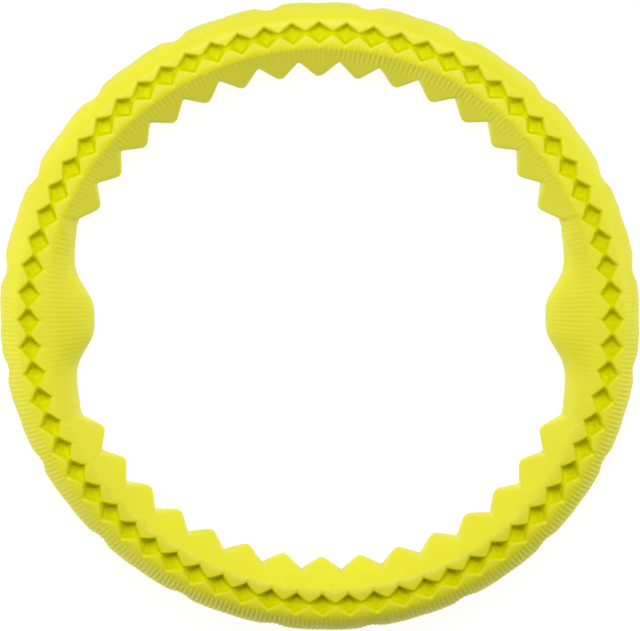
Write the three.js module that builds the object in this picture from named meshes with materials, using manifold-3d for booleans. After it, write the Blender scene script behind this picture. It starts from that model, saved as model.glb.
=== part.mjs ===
// Chunky moulded juggling ring with a zigzag recess in both faces, a toothed inner edge and two grip swells.
// Units are millimetres. The ring lies flat: +Z is its axis, the origin is its centre, and the two swells
// are on the X axis. Two soft half shells close round a stiff rod bent into a hoop.

import * as THREE from 'three';
import { mergeVertices } from 'three/addons/utils/BufferGeometryUtils.js';
import Module from 'manifold-3d';

const wasm = await Module();
wasm.setup();

// Driving dimensions of the ring
const OUTER_RADIUS = 120;
const CREST_RADIUS = 108.6; // middle of the tube's section, where both zigzag recesses run
const HALF_HEIGHT = 13.5;
const OUTER_LAND = 3.2; // how far the flat crest on each face reaches outward from the crest circle
const INNER_LAND = 4.2;
const SHOULDER_POWER = 1.8; // superellipse power of the shoulders: 2 is an ellipse, less is flatter
const GAP = 0.3; // between pieces that touch

// Outer edge: shallow notches between flat-topped lobes
const LOBES = 20;
const NOTCH_DEPTH = 1.6;

// Inner edge: plain wall, teeth and grip swells
const INNER_RADIUS = 97.3;
const TOOTH_TIP_RADIUS = 92.1;
const TOOTH_SLOPE = 1.14; // rise along the axis for each millimetre of radius on a tooth's sloping end
const TOOTH_NOSE = 1.6; // height over which the sloping end turns round at the joint
const TOOTH_PITCH_DEG = 9;
const TOOTHED_HALF_ARC_DEG = 63; // from a tooth row's middle, at +Y or -Y, to its last tooth
const SWELL_HALF_ARC_DEG = 26;
const SWELL_PARTS = [ // each swell is a narrow bulge on a wide one
  { height: 9.5, spreadDeg: 9, power: 3 },
  { height: 3.5, spreadDeg: 18.6, power: 5 },
];

// Zigzag recess: a row of diamonds joined by narrow necks
const DIAMONDS = 68;
const DIAMOND_HALF_WIDTH = 4.1;
const NECK_HALF_WIDTH = 1;
const RECESS_DEPTH = 3.5;

// Inside: hollow with webs that hold the rod
const CAVITY_OUTER_REACH = 8;
const CAVITY_INNER_REACH = 7.2;
const CAVITY_ROOF = 6.8;
const CAVITY_CORNER = 2.2;
const WEB_THICKNESS = 3;
const ROD_RADIUS = 3;
const FERRULE_RADIUS = 4.6;
const FERRULE_LENGTH = 24;

// Tongue on the rear shell's rim and the groove that takes it in the front shell
const TONGUE_RADIUS = 99.5;
const TONGUE_WIDTH = 1;
const TONGUE_HEIGHT = 1.5;

// A soft ring stands slightly out of round. Its long axis is turned from +X by the angle below.
const OUT_OF_ROUND = 1.2;
const LONG_AXIS_DEG = -20;
const EGG_SHAPE = 0.84; // how much fuller it is toward +X than toward -X

const COLUMNS = 80; // columns at every tooth tip and root, lobe top and notch
const CORE_COLUMNS = 40;
const ROD_STEPS = 60;

const LIME = { color: 0xdfe01f, roughness: 0.62, metalness: 0 };
const ROD_FINISH = { color: 0xd8d4c4, roughness: 0.45, metalness: 0 };
const FERRULE_FINISH = { color: 0xb08d3f, roughness: 0.35, metalness: 1 };

// ---------------------------------------------------------------- the tube's section

/** Distance from the crest circle to a superellipse shoulder at height z, from the land out to that width. */
function shoulder(z, land, width, power = SHOULDER_POWER) {
  const rise = Math.min(Math.abs(z) / HALF_HEIGHT, 1);
  return land + (width - land) * (1 - rise ** power) ** (1 / power);
}

/** How far a tooth's tip line reaches inward at height z: a sloping end with a rounded nose. */
function toothReach(z) {
  const rise = Math.hypot(z, TOOTH_NOSE) - TOOTH_NOSE;
  return CREST_RADIUS - TOOTH_TIP_RADIUS - rise / TOOTH_SLOPE;
}

/** Angle between a direction and the nearest multiple of pitch plus offset, all in degrees. */
function angleFrom(degrees, pitch, offset = 0) {
  const turned = (degrees - offset) / pitch;
  return Math.abs(turned - Math.round(turned)) * pitch;
}

function outerReach(degrees, z) {
  const plain = shoulder(z, OUTER_LAND, OUTER_RADIUS - CREST_RADIUS);
  const lobePitch = 360 / LOBES;
  const atNotch = angleFrom(degrees, lobePitch, lobePitch / 2) < 1;
  return atNotch ? Math.min(plain, OUTER_RADIUS - CREST_RADIUS - NOTCH_DEPTH) : plain;
}

function innerReach(degrees, z) {
  const plainWidth = CREST_RADIUS - INNER_RADIUS;
  const plain = shoulder(z, INNER_LAND, plainWidth);
  const inToothRow = angleFrom(degrees, 180, 90) < TOOTHED_HALF_ARC_DEG + 1;
  const atTip = angleFrom(degrees, TOOTH_PITCH_DEG) < 1;
  if (inToothRow && atTip) return Math.max(plain, toothReach(z));
  const fromSwell = angleFrom(degrees, 180);
  if (fromSwell > SWELL_HALF_ARC_DEG) return plain;
  const bulges = SWELL_PARTS.map(({ height, spreadDeg, power }) => (
    height * Math.exp(-((fromSwell / spreadDeg) ** power))
  ));
  const width = plainWidth + bulges.reduce((sum, bulge) => sum + bulge, 0);
  return Math.max(plain, shoulder(z, INNER_LAND, width, 2));
}

// ---------------------------------------------------------------- solids

function toSolid(geometry) {
  const bare = geometry.index ? geometry.toNonIndexed() : geometry.clone();
  bare.deleteAttribute('normal');
  bare.deleteAttribute('uv');
  const merged = mergeVertices(bare, 1e-4);
  const vertProperties = new Float32Array(merged.attributes.position.array);
  const triVerts = new Uint32Array(merged.index.array);
  return new wasm.Manifold(new wasm.Mesh({ numProp: 3, vertProperties, triVerts }));
}

function toGeometry(solid) {
  const { vertProperties, triVerts } = solid.getMesh();
  const geometry = new THREE.BufferGeometry();
  geometry.setAttribute('position', new THREE.BufferAttribute(Float32Array.from(vertProperties), 3));
  geometry.setIndex(new THREE.BufferAttribute(Uint32Array.from(triVerts), 1));
  return geometry;
}

/** A closed profile of [radius, height] points turned about the ring's axis. */
function ringSolid(profile, columns, reshape) {
  const points = [...profile, profile[0]].map(([radius, height]) => new THREE.Vector2(radius, height));
  const geometry = new THREE.LatheGeometry(points, columns);
  geometry.rotateX(Math.PI / 2);
  if (reshape) moveVertices(geometry, reshape);
  return toSolid(geometry);
}

/** Moves every vertex by a function of its radius, its direction in radians and its height. */
function moveVertices(geometry, move) {
  const position = geometry.attributes.position;
  for (let i = 0; i < position.count; i += 1) {
    const [x, y, z] = [position.getX(i), position.getY(i), position.getZ(i)];
    const [radius, direction] = move(Math.hypot(x, y), Math.atan2(y, x), z);
    position.setXY(i, radius * Math.cos(direction), radius * Math.sin(direction));
  }
}

/** The front half of the ring as one solid, above the joint plane, before anything is cut from it. */
function frontHalf() {
  const joint = GAP / 2;
  const outerHeights = [joint, 4.9, 8.9, 11.8, 13.1];
  const innerHeights = [13.1, 11.8, 10.4, 6.9, 3.2, joint];
  const outside = outerHeights.map((z) => [OUTER_RADIUS, z]);
  const crest = [OUTER_LAND, -INNER_LAND].map((reach) => [CREST_RADIUS + reach, HALF_HEIGHT]);
  const inside = innerHeights.map((z) => [INNER_RADIUS, z]);
  return ringSolid([...outside, ...crest, ...inside], COLUMNS, (radius, direction, z) => {
    const degrees = THREE.MathUtils.radToDeg(direction);
    if (Math.abs(radius - OUTER_RADIUS) < 0.01) {
      return [CREST_RADIUS + outerReach(degrees, z), direction];
    }
    if (Math.abs(radius - INNER_RADIUS) < 0.01) return [CREST_RADIUS - innerReach(degrees, z), direction];
    return [radius, direction];
  });
}

/** The zigzag recess: a band between two zigzag outlines that mirror each other about the crest circle. */
function zigzagRecess() {
  const outline = (side) => Array.from({ length: 2 * DIAMONDS }, (_, k) => {
    const halfWidth = k % 2 ? NECK_HALF_WIDTH : DIAMOND_HALF_WIDTH;
    const direction = (Math.PI * k) / DIAMONDS;
    const radius = CREST_RADIUS + side * halfWidth;
    return new THREE.Vector2(radius * Math.cos(direction), radius * Math.sin(direction));
  });
  const band = new THREE.Shape(outline(1));
  band.holes.push(new THREE.Path(outline(-1)));
  const geometry = new THREE.ExtrudeGeometry(band, { depth: RECESS_DEPTH + 1, bevelEnabled: false });
  geometry.translate(0, 0, HALF_HEIGHT - RECESS_DEPTH);
  return toSolid(geometry);
}

/** The hollow in one half, with the webs left standing, and the half-round saddles for the rod. */
function hollow() {
  const wallOut = CREST_RADIUS + CAVITY_OUTER_REACH;
  const wallIn = CREST_RADIUS - CAVITY_INNER_REACH;
  const cavity = ringSolid([
    [wallOut, -1],
    [wallOut, CAVITY_ROOF - CAVITY_CORNER],
    [wallOut - CAVITY_CORNER, CAVITY_ROOF],
    [wallIn + CAVITY_CORNER, CAVITY_ROOF],
    [wallIn, CAVITY_ROOF - CAVITY_CORNER],
    [wallIn, -1],
  ], CORE_COLUMNS);
  const webs = Array.from({ length: LOBES }, (_, k) => {
    const web = new THREE.BoxGeometry(40, WEB_THICKNESS, 40);
    web.translate(CREST_RADIUS, 0, 0);
    web.rotateZ(((k + 0.5) * 2 * Math.PI) / LOBES);
    return toSolid(web);
  });
  const bays = webs.reduce((space, web) => space.subtract(web), cavity);
  const saddleProfile = Array.from({ length: 8 }, (_, k) => {
    const turn = ((k + 0.5) * Math.PI) / 4;
    const reach = (ROD_RADIUS + GAP) / Math.cos(Math.PI / 8);
    return [CREST_RADIUS + reach * Math.cos(turn), reach * Math.sin(turn)];
  });
  return bays.add(ringSolid(saddleProfile, ROD_STEPS));
}

/** A square-sectioned ring on the joint's rim, grown by the clearance on each side. */
function rim(clearance) {
  const halfWidth = TONGUE_WIDTH / 2 + clearance;
  const [low, high] = [-1, TONGUE_HEIGHT + clearance];
  return ringSolid([
    [TONGUE_RADIUS + halfWidth, low],
    [TONGUE_RADIUS + halfWidth, high],
    [TONGUE_RADIUS - halfWidth, high],
    [TONGUE_RADIUS - halfWidth, low],
  ], CORE_COLUMNS);
}

const plainHalf = frontHalf().subtract(zigzagRecess()).subtract(hollow());

function frontShell() {
  return toGeometry(plainHalf.subtract(rim(GAP)));
}

function rearShell() {
  const rear = plainHalf.mirror([0, 0, 1]);
  return toGeometry(rear.add(rim(0)));
}

// ---------------------------------------------------------------- the hoop inside

/** An arc of the crest circle between two directions in radians. */
class CrestArc extends THREE.Curve {
  constructor(from, to) {
    super();
    this.from = from;
    this.to = to;
  }

  getPoint(t, target = new THREE.Vector3()) {
    const direction = THREE.MathUtils.lerp(this.from, this.to, t);
    return target.set(CREST_RADIUS * Math.cos(direction), CREST_RADIUS * Math.sin(direction), 0);
  }
}

function polygon(radius, sides) {
  return Array.from({ length: sides }, (_, k) => {
    const turn = ((k + 0.5) * 2 * Math.PI) / sides;
    return new THREE.Vector2(radius * Math.cos(turn), radius * Math.sin(turn));
  });
}

function rodHoop() {
  const halfGap = GAP / 2 / CREST_RADIUS;
  return new THREE.ExtrudeGeometry(new THREE.Shape(polygon(ROD_RADIUS, 8)), {
    steps: ROD_STEPS,
    bevelEnabled: false,
    extrudePath: new CrestArc(halfGap, 2 * Math.PI - halfGap),
  });
}

function ferrule() {
  const halfArc = FERRULE_LENGTH / 2 / CREST_RADIUS;
  const wall = new THREE.Shape(polygon(FERRULE_RADIUS, 12));
  wall.holes.push(new THREE.Path(polygon(ROD_RADIUS + 2 * GAP, 12)));
  return new THREE.ExtrudeGeometry(wall, {
    steps: 6,
    bevelEnabled: false,
    extrudePath: new CrestArc(-halfArc, halfArc),
  });
}

// ---------------------------------------------------------------- assembly

/** Bends the whole ring slightly out of round. */
function bendOutOfRound(geometry) {
  const longAxis = THREE.MathUtils.degToRad(LONG_AXIS_DEG);
  moveVertices(geometry, (radius, direction) => {
    const twice = 2 * (direction - longAxis);
    const shift = (OUT_OF_ROUND / 2 / OUTER_RADIUS) * Math.sin(twice);
    const egg = EGG_SHAPE * Math.sin(direction) * Math.sin(2 * direction);
    return [radius + OUT_OF_ROUND * Math.cos(twice) + egg, direction - shift];
  });
  return geometry;
}

function piece(name, geometry, finish) {
  const mesh = new THREE.Mesh(bendOutOfRound(geometry), new THREE.MeshStandardMaterial(finish));
  mesh.name = name;
  return mesh;
}

const ring = new THREE.Group();
ring.add(
  piece('front_shell', frontShell(), LIME),
  piece('rear_shell', rearShell(), LIME),
  piece('core_hoop', rodHoop(), ROD_FINISH),
  piece('hoop_ferrule', ferrule(), FERRULE_FINISH),
);

export default ring;
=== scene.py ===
"""The looks of a chunky soft juggling ring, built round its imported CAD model.

Each half shell is a fine mesh worked out column by column round the ring. Every column is one outline of the
tube's section, from the joint on the outer edge, over the lobes, down into the zigzag recess, up again, and
over the teeth or a grip swell to the joint on the inner edge. The stiff hoop and its ferrule inside stay as
CAD parts.
"""

import math

import bpy
import numpy as np
from mathutils import Matrix, Vector


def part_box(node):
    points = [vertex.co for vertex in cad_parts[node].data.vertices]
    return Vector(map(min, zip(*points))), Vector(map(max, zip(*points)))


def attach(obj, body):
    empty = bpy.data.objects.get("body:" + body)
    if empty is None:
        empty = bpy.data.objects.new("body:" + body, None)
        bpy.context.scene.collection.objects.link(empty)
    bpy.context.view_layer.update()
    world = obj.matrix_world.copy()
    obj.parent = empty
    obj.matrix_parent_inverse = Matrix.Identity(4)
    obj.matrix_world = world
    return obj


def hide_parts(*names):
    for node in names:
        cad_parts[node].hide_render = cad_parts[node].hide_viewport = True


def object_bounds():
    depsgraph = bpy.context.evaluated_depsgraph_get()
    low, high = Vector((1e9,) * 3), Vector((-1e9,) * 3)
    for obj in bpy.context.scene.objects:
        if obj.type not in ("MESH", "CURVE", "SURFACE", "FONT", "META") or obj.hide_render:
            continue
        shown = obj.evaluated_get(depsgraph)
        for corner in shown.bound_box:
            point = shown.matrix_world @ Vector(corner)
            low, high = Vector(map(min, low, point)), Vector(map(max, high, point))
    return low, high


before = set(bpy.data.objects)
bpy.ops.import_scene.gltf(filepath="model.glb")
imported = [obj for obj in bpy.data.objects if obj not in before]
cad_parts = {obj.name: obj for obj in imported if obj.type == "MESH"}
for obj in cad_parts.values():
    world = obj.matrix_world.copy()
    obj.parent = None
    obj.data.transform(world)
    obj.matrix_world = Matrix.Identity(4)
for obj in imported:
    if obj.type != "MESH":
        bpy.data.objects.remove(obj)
cad_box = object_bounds()

MM = 0.001

# ---------------------------------------------------------------- sizes, in millimetres

shell_low, shell_high = (np.array(corner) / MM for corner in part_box("front_shell"))
OUTER_RADIUS = (shell_high - shell_low)[:2].sum() / 4  # the mean of the long and the short radius
HALF_HEIGHT = shell_high[2]
JOINT_HEIGHT = shell_low[2]  # half the joint's gap
OUT_OF_ROUND = 1.2  # how much the long axis adds to the radius, and the short axis takes away
LONG_AXIS = math.radians(-20)
EGG_SHAPE = 0.84  # how much the ring is fuller toward +X than toward -X

# A reach is a distance from the crest circle, which runs along the middle of the tube's top
OUTER_REACH = 11.4
INNER_REACH = 11.3
CREST_RADIUS = OUTER_RADIUS - OUTER_REACH
OUTER_LAND = 3.2  # how far the flat crest reaches to each side of the crest circle
INNER_LAND = 4.2
LAND_EDGE = 0.3  # the teeth and swells start within this much of the land
SHOULDER_POWER = 1.8

LOBES = 20
NOTCH_DEPTH = 1.6
NOTCH_HALF_ARC = math.radians(4.4)
LOBE_FLAT_DROP = 0.3
LOBE_FLAT_HALF_ARC = math.radians(6)
LIMIT_CLEARANCE = 1.2  # how far the limit that shapes the lobes stands off where it isn't needed
LIMIT_BLEND = 0.6

TOOTH_PITCH = math.radians(9)
TOOTHED_HALF_ARC = math.radians(67.5)
TOOTH_REACH = 16.55
TOOTH_END_SLOPE = 1.14  # height for each millimetre that a tooth's end slopes back
TOOTH_END_ROUNDING = 1.6
TOOTH_FLANK = 1.57 / math.radians(1)  # reach that a flank loses for each radian from the tooth's tip
TOOTH_TIP_ROUNDING = math.radians(0.85)
TOOTH_BLEND = 0.5
ROOT_BLEND = 0.6

# Each swell is a narrow bulge on a wide one: height, spread round the ring and power
SWELL_PARTS = [(9.5, math.radians(9.0), 3), (3.5, math.radians(18.6), 5)]

DIAMONDS = 68
DIAMOND_HALF_WIDTH = 3.75
NECK_HALF_WIDTH = 0.35
ZIGZAG_ROUNDING = 0.1  # of the corners, as a share of half a diamond's length
RECESS_DEPTH = 3.5
NECK_DEPTH = 0.8
LIP_RADIUS = 1.0
OUTER_LIP_GROWTH = 0.45  # how much more the outer lip's radius is in the middle of a diamond
WALL_SLOPES = (math.radians(50), math.radians(78))  # at a neck and in the middle of a diamond
FLOOR_FILLET = 1.2
FLOOR_GROWTH = 1.8  # how fast the floor drops from a neck to its full depth
FLOOR_GROWTH_BLEND = 0.5
FLOOR_BLEND = 0.4
ROW_SPACING = 0.02  # least distance between the rows in the middle of a neck

RIB_HEIGHT = 0.16  # half the depth of a rib of full strength
RIB_START = (3.5, 7.5)  # the ribs rise from the land between these reaches
OUTER_RIBS_SHARE = 0.9
RIM_RIBS_SHARE = 0.15  # how much of it is left at the joint
RIM_RIBS_FADE = 6  # the height above the joint plane at which the outer ribs have their full height
SWELL_RIBS_SHARE = 0.3
RIBS_FADE = 0.75  # how much of their height the outer ribs lose toward +Y, and the inner ribs toward -Y
RIBS_GROW = (math.radians(25), math.radians(75))  # angles from a swell between which the inner ribs deepen
RIB_END = (9.4, 11.0)  # the ribs fade out over the teeth between these reaches
OUTER_RIBS = 6 * DIAMONDS
INNER_RIBS = 5 * DIAMONDS

JOINT_EDGE = 0.3  # bevel of the two rims that meet at the joint
# Corners of the hollow's section, as reach and height
CAVITY = [(8, 0), (8, 4.6), (5.8, 6.8), (-5, 6.8), (-7.2, 4.6), (-7.2, 0)]

# ---------------------------------------------------------------- steps of the mesh

COLUMNS = 30 * DIAMONDS  # whole numbers for each diamond and each rib
CAVITY_COLUMNS = COLUMNS // 10
OUTER_TURNS = np.radians(np.linspace(8, 90, 13))  # where the rows lie on the shoulders' quarter turns
INNER_TURNS = np.radians(np.linspace(90, 6, 14))
LIP_STEPS = (0.25, 0.5, 0.75, 1)  # where they lie on an arc, as shares of its turn
FILLET_STEPS = (1, 0.66, 0.33, 0)
SHARP_ANGLE = math.radians(60)
TINY = 1e-9  # keeps a division clear of zero

direction = np.arange(COLUMNS) * 2 * math.pi / COLUMNS
toward_y = (1 + np.sin(direction)) / 2  # 0 at -Y and 1 at +Y


# ---------------------------------------------------------------- curves

def smooth_min(a, b, blend):
    share = np.clip(0.5 + 0.5 * (b - a) / blend, 0, 1)
    return b * (1 - share) + a * share - blend * share * (1 - share)


def smooth_max(a, b, blend):
    return -smooth_min(-a, -b, blend)


def smooth_step(share):
    share = np.clip(share, 0, 1)
    return share ** 2 * (3 - 2 * share)


def rise_between(value, low, high):
    """0 below low, 1 above high and a straight rise between them."""
    return np.clip((value - low) / (high - low), 0, 1)


def arc(radius, turn):
    """How far an arc runs along its first direction and away from it, once it has turned."""
    return radius * np.sin(turn), radius * (1 - np.cos(turn))


def angle_from(pitch, offset=0.0):
    """Every column's angle from the nearest multiple of pitch plus offset, in radians."""
    turns = (direction - offset) / pitch
    return np.abs(turns - np.round(turns)) * pitch


# ---------------------------------------------------------------- the tube's section

def crown(reach, land, width):
    """Height of the tube's shoulder at a reach."""
    across = rise_between(reach, land, width)
    return HALF_HEIGHT * (1 - across ** SHOULDER_POWER) ** (1 / SHOULDER_POWER)


def zigzag():
    """Half width of the recess in every column, and the share from a neck (0) to a diamond's middle (1)."""
    half_pitch = math.pi / DIAMONDS
    from_neck = angle_from(2 * half_pitch, half_pitch) / half_pitch
    spread = np.sqrt(from_neck ** 2 + ZIGZAG_ROUNDING ** 2) - ZIGZAG_ROUNDING
    spread = smooth_min(spread, np.full(COLUMNS, 1 - ZIGZAG_ROUNDING), ZIGZAG_ROUNDING)
    spread = spread / spread.max()
    return NECK_HALF_WIDTH + (DIAMOND_HALF_WIDTH - NECK_HALF_WIDTH) * spread, spread


def outer_limit():
    """Furthest reach of the outer wall: pulled in at the notches and slightly flat on the lobes."""
    lobe_pitch = 2 * math.pi / LOBES
    notch = smooth_step(1 - angle_from(lobe_pitch, lobe_pitch / 2) / NOTCH_HALF_ARC)
    flat = smooth_step(1 - angle_from(lobe_pitch) / LOBE_FLAT_HALF_ARC)
    notch_drop = (NOTCH_DEPTH + LIMIT_CLEARANCE) * notch
    return OUTER_REACH + LIMIT_CLEARANCE * (1 - flat) - notch_drop - LOBE_FLAT_DROP * flat


def tooth_reach(height):
    """Reach of the row of teeth: sloping ends, cut off by the flanks."""
    end_slope = np.sqrt(height ** 2 + TOOTH_END_ROUNDING ** 2) - TOOTH_END_ROUNDING
    flank = np.sqrt(angle_from(TOOTH_PITCH) ** 2 + TOOTH_TIP_ROUNDING ** 2) - TOOTH_TIP_ROUNDING
    sloping_end = TOOTH_REACH - end_slope / TOOTH_END_SLOPE
    return smooth_min(sloping_end, TOOTH_REACH - flank * TOOTH_FLANK, TOOTH_BLEND)


def swell_reach(plain, height):
    """Reach of the inner wall where a grip swell stands out from the plain wall."""
    from_swell = angle_from(math.pi)
    added = sum(rise * np.exp(-(from_swell / spread) ** power) for rise, spread, power in SWELL_PARTS)
    level = np.clip(height / HALF_HEIGHT, 0, 1)
    swell = INNER_LAND + (INNER_REACH + added - INNER_LAND) * np.sqrt(1 - level ** 2)
    return plain + (np.maximum(swell, plain) - plain) * np.clip(added, 0, 1)


def inner_reach(plain, height):
    """Reach of the inner wall with its teeth and swells, and how far it is on a tooth's unribbed end."""
    in_row = angle_from(math.pi, math.pi / 2) < TOOTHED_HALF_ARC
    tooth = np.where(in_row, tooth_reach(height), 0)
    reach = np.where(in_row, smooth_max(plain, tooth, ROOT_BLEND), swell_reach(plain, height))
    on_tooth = np.clip((tooth - plain) / TOOTH_BLEND + 0.5, 0, 1) * in_row
    return reach, on_tooth * rise_between(reach, *RIB_END)


# ---------------------------------------------------------------- rows of the mesh

def row(reach, height, ribs=0.0, recess=0.0):
    """Reach, height, strength of the ribs and share in the recess, with one value for every column."""
    return [np.broadcast_to(value, COLUMNS).astype(float) for value in (reach, height, ribs, recess)]


def outer_rows(lip_start):
    """Rows from the joint on the outer edge up to the recess's lip."""
    limit = outer_limit()
    ribs = OUTER_RIBS_SHARE * (1 - RIBS_FADE * toward_y)

    def limited(plain, height, strength):
        return row(smooth_min(plain, limit, LIMIT_BLEND), height, strength)

    rows = [
        limited(np.full(COLUMNS, OUTER_REACH - JOINT_EDGE), JOINT_HEIGHT, 0),
        limited(np.full(COLUMNS, OUTER_REACH), JOINT_HEIGHT + JOINT_EDGE, ribs * RIM_RIBS_SHARE),
    ]
    for turn in OUTER_TURNS:
        plain = lip_start + (OUTER_REACH - lip_start) * math.cos(turn)
        height = crown(plain, OUTER_LAND, OUTER_REACH)
        above_rim = RIM_RIBS_SHARE + (1 - RIM_RIBS_SHARE) * rise_between(height, 0, RIM_RIBS_FADE)
        rows.append(limited(plain, height, ribs * rise_between(plain, *RIB_START) * above_rim))
    return rows


def recess_floor(lip_start, spread, slope, lip, fillet):
    """Height of the recess's floor, no deeper than its two sloping walls have room for."""
    lip_run, lip_drop = arc(lip, slope)
    fillet_run, fillet_drop = arc(fillet, slope)
    room = lip_start - lip_run - fillet_run
    deepest = lip_drop + fillet_drop + room * np.tan(slope)
    share = smooth_min(FLOOR_GROWTH * spread, np.ones(COLUMNS), FLOOR_GROWTH_BLEND)
    wanted = NECK_DEPTH + (RECESS_DEPTH - NECK_DEPTH) * share
    return HALF_HEIGHT - smooth_min(wanted, deepest, FLOOR_BLEND)


def recess_rows(lip_start, spread):
    """Rows across the recess, down its outer wall to the floor and up its inner wall."""
    slope = WALL_SLOPES[0] + (WALL_SLOPES[1] - WALL_SLOPES[0]) * spread
    outer_lip = LIP_RADIUS + OUTER_LIP_GROWTH * spread
    fillet = np.minimum(FLOOR_FILLET, lip_start / np.sin(slope) - outer_lip)
    floor = recess_floor(lip_start, spread, slope, outer_lip, fillet)

    def wall(side, top, lip):
        """Lip, sloping wall and fillet on one side, from the crest down to the floor."""
        lip_run, lip_drop = arc(lip, slope)
        fillet_run, fillet_drop = arc(fillet, slope)
        wall_run = np.maximum(top - floor - lip_drop - fillet_drop, 0) / np.tan(slope)
        found = []
        for share in LIP_STEPS:
            run, drop = arc(lip, slope * share)
            found.append((run, top - drop, share))
        for share in FILLET_STEPS:
            run, rise = arc(fillet, slope * share)
            found.append((lip_run + wall_run + fillet_run - run, floor + rise, 1))
        return [
            row(side * np.maximum(lip_start - inset, ROW_SPACING * (len(found) - k)), height, 0, recess)
            for k, (inset, height, recess) in enumerate(found)
        ]

    outer = wall(1, crown(lip_start, OUTER_LAND, OUTER_REACH), outer_lip)
    inner = wall(-1, crown(lip_start, INNER_LAND, INNER_REACH), LIP_RADIUS)
    return outer + [row(0, floor, 0, 1)] + inner[::-1]


def inner_rows(lip_start):
    """Rows from the recess's inner lip, over the teeth and swells, to the joint on the inner edge."""
    past_swell = rise_between(angle_from(math.pi), *RIBS_GROW)
    ribs = (SWELL_RIBS_SHARE + (1 - SWELL_RIBS_SHARE) * past_swell) * (1 - RIBS_FADE * (1 - toward_y))
    rows = []
    for turn in INNER_TURNS:
        plain = lip_start + (INNER_REACH - lip_start) * math.cos(turn)
        height = crown(plain, INNER_LAND, INNER_REACH)
        reach, unribbed = inner_reach(plain, height)
        reach = plain + (reach - plain) * rise_between(plain, INNER_LAND, INNER_LAND + LAND_EDGE)
        rows.append(row(-reach, height, ribs * rise_between(reach, *RIB_START) * (1 - unribbed)))
    rim = np.full(COLUMNS, INNER_REACH)
    reach, unribbed = inner_reach(rim, JOINT_HEIGHT + JOINT_EDGE)
    rows.append(row(-reach, JOINT_HEIGHT + JOINT_EDGE, ribs * (1 - unribbed)))
    rows.append(row(JOINT_EDGE - inner_reach(rim, JOINT_HEIGHT)[0], JOINT_HEIGHT))
    return rows


def section_rows():
    """Reach, height, strength of the ribs and share in the recess, each with a line for every row.

    Reach is positive outward here. Rows run from the joint on the outer edge to the joint on the inner edge.
    """
    half_width, spread = zigzag()
    lip_start = half_width + LIP_RADIUS
    rows = outer_rows(lip_start) + recess_rows(lip_start, spread) + inner_rows(lip_start)
    return (np.array(values) for values in zip(*rows))


def add_ribs(reach, height, strength):
    """Moves the ribbed rows along the section's own normal."""
    along_reach = np.gradient(reach, axis=0)
    along_height = np.gradient(height, axis=0)
    length = np.hypot(along_reach, along_height) + TINY
    wave = np.where(reach > 0, np.cos(OUTER_RIBS * direction), np.cos(INNER_RIBS * direction))
    lift = RIB_HEIGHT * (wave - 1) * strength
    return reach + along_height / length * lift, height - along_reach / length * lift


# ---------------------------------------------------------------- the two half shells

def to_ring(reach, height, directions):
    """Points in metres, with the ring bent slightly out of round."""
    twice = 2 * (directions - LONG_AXIS)
    egg = EGG_SHAPE * np.sin(directions) * np.sin(2 * directions)
    radius = CREST_RADIUS + reach + OUT_OF_ROUND * np.cos(twice) + egg
    turned = directions - OUT_OF_ROUND / 2 / OUTER_RADIUS * np.sin(twice)
    points = [radius * np.cos(turned), radius * np.sin(turned), np.broadcast_to(height, radius.shape)]
    return np.stack(points, -1) * MM


def grid_faces(rows, columns, start):
    """Four-sided faces of a grid of points that closes round the ring."""
    at_row, column = np.meshgrid(np.arange(rows - 1), np.arange(columns), indexing="ij")
    here = at_row * columns + column
    after = at_row * columns + (column + 1) % columns
    corners = [here, after, after + columns, here + columns]
    return (np.stack(corners, -1).reshape(-1, 4) + start).tolist()


def shell_faces(row_count):
    """Faces of the fine outside, of the coarse hollow, and of the two joint faces between them."""
    hollow_start = row_count * COLUMNS
    outside = grid_faces(row_count, COLUMNS, 0)
    hollow = [face[::-1] for face in grid_faces(len(CAVITY), CAVITY_COLUMNS, hollow_start)]
    step = COLUMNS // CAVITY_COLUMNS
    last_row = (row_count - 1) * COLUMNS
    last_hollow_row = hollow_start + (len(CAVITY) - 1) * CAVITY_COLUMNS
    joint = []
    for k in range(CAVITY_COLUMNS):
        after = (k + 1) % CAVITY_COLUMNS
        fine = [(k * step + i) % COLUMNS for i in range(step + 1)]
        joint.append(fine[::-1] + [hollow_start + k, hollow_start + after])
        joint.append([last_row + i for i in fine] + [last_hollow_row + after, last_hollow_row + k])
    return outside + hollow + joint


def shell_mesh(name, side):
    """One half shell: the outside, the joint faces and the hollow. side is 1 at the front, -1 at the rear."""
    reach, height, strength, recess = section_rows()
    outside = to_ring(*add_ribs(reach, height, strength), direction)
    coarse = direction[:: COLUMNS // CAVITY_COLUMNS]
    cavity = np.array([
        to_ring(np.full(CAVITY_COLUMNS, float(across)), max(up, JOINT_HEIGHT), coarse)
        for across, up in CAVITY
    ])
    points = np.concatenate([outside.reshape(-1, 3), cavity.reshape(-1, 3)])
    points[:, 2] *= side
    faces = shell_faces(len(outside))
    if side < 0:
        faces = [face[::-1] for face in faces]
    mesh = bpy.data.meshes.new(name)
    mesh.from_pydata(points.tolist(), [], faces)
    recessed = mesh.attributes.new("recessed", "FLOAT", "POINT")
    recessed.data.foreach_set("value", np.concatenate([recess.ravel(), np.zeros(cavity.size // 3)]))
    mesh.shade_smooth()
    mesh.set_sharp_from_angle(angle=SHARP_ANGLE)
    shell = bpy.data.objects.new(name, mesh)
    bpy.context.scene.collection.objects.link(shell)
    return shell


# ---------------------------------------------------------------- materials

def new_material(name):
    material = bpy.data.materials.new(name)
    material.use_nodes = True
    tree = material.node_tree
    return material, tree, tree.nodes["Principled BSDF"]


def noise(tree, scale, detail):
    coordinates = tree.nodes.new("ShaderNodeTexCoord")
    texture = tree.nodes.new("ShaderNodeTexNoise")
    texture.inputs["Scale"].default_value = scale
    texture.inputs["Detail"].default_value = detail
    tree.links.new(coordinates.outputs["Object"], texture.inputs["Vector"])
    return texture.outputs["Fac"]


def grey(level):
    return level, level, level


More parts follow.
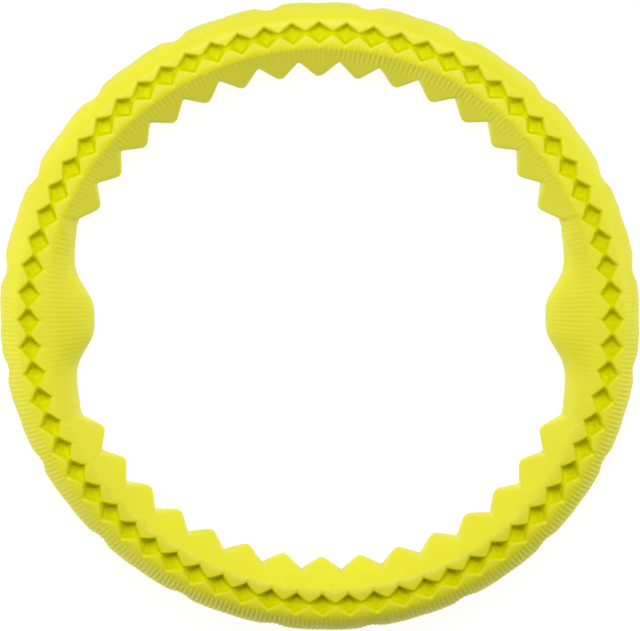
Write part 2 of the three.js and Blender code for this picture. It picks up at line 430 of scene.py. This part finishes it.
def ramp(tree, source, low_colour, high_colour, low=0.3, high=0.7):
    """A colour that turns from one to another as the source rises; noise keeps mostly within 0.3 to 0.7."""
    node = tree.nodes.new("ShaderNodeValToRGB")
    start, end = node.color_ramp.elements
    start.position, start.color = low, (*low_colour, 1)
    end.position, end.color = high, (*high_colour, 1)
    tree.links.new(source, node.inputs["Fac"])
    return node.outputs["Color"]


def bump(tree, source, strength, distance, after=None):
    node = tree.nodes.new("ShaderNodeBump")
    node.inputs["Strength"].default_value = strength
    node.inputs["Distance"].default_value = distance
    tree.links.new(source, node.inputs["Height"])
    if after is not None:
        tree.links.new(after, node.inputs["Normal"])
    return node.outputs["Normal"]


def elastomer():
    """Soft lime-yellow moulded elastomer: faint cloudy colour, a fine matte grain and uneven gloss.

    The recess has painted shade: a darker, more saturated colour for the light its walls shut out, and a
    duller shine.
    """
    material, tree, shader = new_material("lime_elastomer")
    cloud = noise(tree, 45, 3)
    open_colour = ramp(tree, cloud, (0.81, 0.775, 0.003), (0.85, 0.815, 0.005))
    # painted shade: the recess's darker, more saturated colour stands in for the light its walls shut out
    painted_recess_shade = ramp(tree, cloud, (0.70, 0.70, 0.0), (0.74, 0.74, 0.0))
    recessed = tree.nodes.new("ShaderNodeAttribute")
    recessed.attribute_name = "recessed"
    blend = tree.nodes.new("ShaderNodeMix")
    blend.data_type = "RGBA"
    tree.links.new(recessed.outputs["Fac"], blend.inputs["Factor"])
    tree.links.new(open_colour, blend.inputs["A"])
    tree.links.new(painted_recess_shade, blend.inputs["B"])
    tree.links.new(blend.outputs["Result"], shader.inputs["Base Color"])
    shine = ramp(tree, recessed.outputs["Fac"], grey(0.7), grey(0.05), low=0, high=1)
    tree.links.new(shine, shader.inputs["Specular IOR Level"])
    gloss = ramp(tree, noise(tree, 160, 2), grey(0.5), grey(0.62))
    tree.links.new(gloss, shader.inputs["Roughness"])
    grain = bump(tree, noise(tree, 2600, 2), 0.25, 0.03 * MM)
    uneven = bump(tree, noise(tree, 300, 2), 0.2, 0.1 * MM, grain)
    tree.links.new(uneven, shader.inputs["Normal"])
    shader.inputs["Subsurface Weight"].default_value = 0.12
    shader.inputs["Subsurface Radius"].default_value = (1.0, 1.0, 0.1)
    shader.inputs["Subsurface Scale"].default_value = 1 * MM
    return material


def drawn_rod():
    """Satin off-white plastic rod with faint streaks."""
    material, tree, shader = new_material("drawn_rod")
    colour = ramp(tree, noise(tree, 90, 4), (0.60, 0.58, 0.48), (0.72, 0.70, 0.60))
    tree.links.new(colour, shader.inputs["Base Color"])
    tree.links.new(bump(tree, noise(tree, 900, 2), 0.3, 0.05 * MM), shader.inputs["Normal"])
    shader.inputs["Roughness"].default_value = 0.42
    return material


def brass():
    """Lightly brushed brass, duller where it is tarnished."""
    material, tree, shader = new_material("drawn_brass")
    tarnish = noise(tree, 220, 4)
    colour = ramp(tree, tarnish, (0.50, 0.34, 0.12), (0.68, 0.50, 0.20))
    tree.links.new(colour, shader.inputs["Base Color"])
    gloss = ramp(tree, tarnish, grey(0.45), grey(0.28))
    tree.links.new(gloss, shader.inputs["Roughness"])
    shader.inputs["Metallic"].default_value = 1
    return material


def floor_sheet():
    """Pale matte floor that glows enough to stay nearly white in the weak studio light."""
    material, tree, shader = new_material("pale_floor")
    shade = ramp(tree, noise(tree, 6, 2), grey(0.19), grey(0.21))
    tree.links.new(shade, shader.inputs["Base Color"])
    shader.inputs["Roughness"].default_value = 0.9
    shader.inputs["Specular IOR Level"].default_value = 0.1
    shader.inputs["Emission Color"].default_value = (1, 1, 1, 1)
    shader.inputs["Emission Strength"].default_value = 0.9
    return material


# ---------------------------------------------------------------- pieces

lime = elastomer()
for shell_name, node, slot, side in (
    ("front_shell_skin", "front_shell", "front_elastomer", 1),
    ("rear_shell_skin", "rear_shell", "rear_elastomer", -1),
):
    shell = shell_mesh(shell_name, side)
    shell.data.materials.append(lime)
    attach(shell, "root")
    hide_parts(node)

for node, material in (("core_hoop", drawn_rod()), ("hoop_ferrule", brass())):
    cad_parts[node].material_slots[0].material = material

# ---------------------------------------------------------------- floor and light, in metres

FLOOR_HALF = 3.0
FLOOR_GAP = 0.0002  # keeps the floor clear of the rear shell's flat crest
WORLD_STRENGTH = 0.04

floor_level = cad_box[0][2] - FLOOR_GAP
corners = [
    (x * FLOOR_HALF, y * FLOOR_HALF, floor_level)
    for x, y in ((-1, -1), (1, -1), (1, 1), (-1, 1))
]
floor_mesh = bpy.data.meshes.new("floor")
floor_mesh.from_pydata(corners, [], [(0, 1, 2, 3)])
floor_mesh.materials.append(floor_sheet())
floor_object = bpy.data.objects.new("floor", floor_mesh)
bpy.context.scene.collection.objects.link(floor_object)

world = bpy.data.worlds.new("studio")
world.use_nodes = True
background = world.node_tree.nodes["Background"]
background.inputs["Color"].default_value = (1, 1, 1, 1)
background.inputs["Strength"].default_value = WORLD_STRENGTH
bpy.context.scene.world = world


def area_light(name, azimuth, elevation, distance, size, power):
    """A square light that faces the ring's centre, from an azimuth and elevation in degrees."""
    turned = Matrix.Rotation(math.radians(azimuth), 3, "Z")
    raised = Matrix.Rotation(math.radians(-elevation), 3, "Y")
    light = bpy.data.lights.new(name, "AREA")
    light.shape = "SQUARE"
    light.size = size
    light.energy = power
    lamp = bpy.data.objects.new(name, light)
    lamp.location = turned @ raised @ Vector((distance, 0, 0))
    lamp.rotation_euler = (-lamp.location).to_track_quat("-Z", "Y").to_euler()
    bpy.context.scene.collection.objects.link(lamp)


area_light("key", azimuth=96, elevation=59, distance=0.85, size=0.42, power=5.3)
area_light("left", azimuth=178, elevation=27, distance=0.6, size=0.3, power=1.1)
area_light("right", azimuth=2, elevation=27, distance=0.6, size=0.3, power=1.1)
area_light("low", azimuth=238, elevation=9, distance=0.9, size=0.3, power=0.8)

# ---------------------------------------------------------------- camera

# It looks down the ring's axis from twelve radii away, and stands a little toward +Y and -X
CAMERA_DISTANCE = 12 * OUTER_RADIUS * MM
LEAN_BACK = math.radians(4.6)
LEAN_SIDE = math.radians(1.2)
ROLL = math.radians(0.24)
SENSOR = 36  # in millimetres
RING_SHARE = 0.4958  # the outer radius as a share of the picture's width
AIM = Vector((-0.00007, 0.00086, 0))  # from the ring's centre to the middle of the view, in metres

turn = Matrix.Rotation(LEAN_SIDE, 3, "Y") @ Matrix.Rotation(LEAN_BACK, 3, "X") @ Matrix.Rotation(ROLL, 3, "Z")
camera_data = bpy.data.cameras.new("camera")
camera_data.sensor_width = SENSOR
camera_data.lens = RING_SHARE * CAMERA_DISTANCE / (OUTER_RADIUS * MM) * SENSOR
camera = bpy.data.objects.new("camera", camera_data)
bpy.context.scene.collection.objects.link(camera)
back = turn.transposed()
camera.matrix_world = Matrix.Translation(back @ (AIM + Vector((0, 0, CAMERA_DISTANCE)))) @ back.to_4x4()
bpy.context.scene.camera = camera
bpy.context.scene.view_settings.view_transform = "Standard"
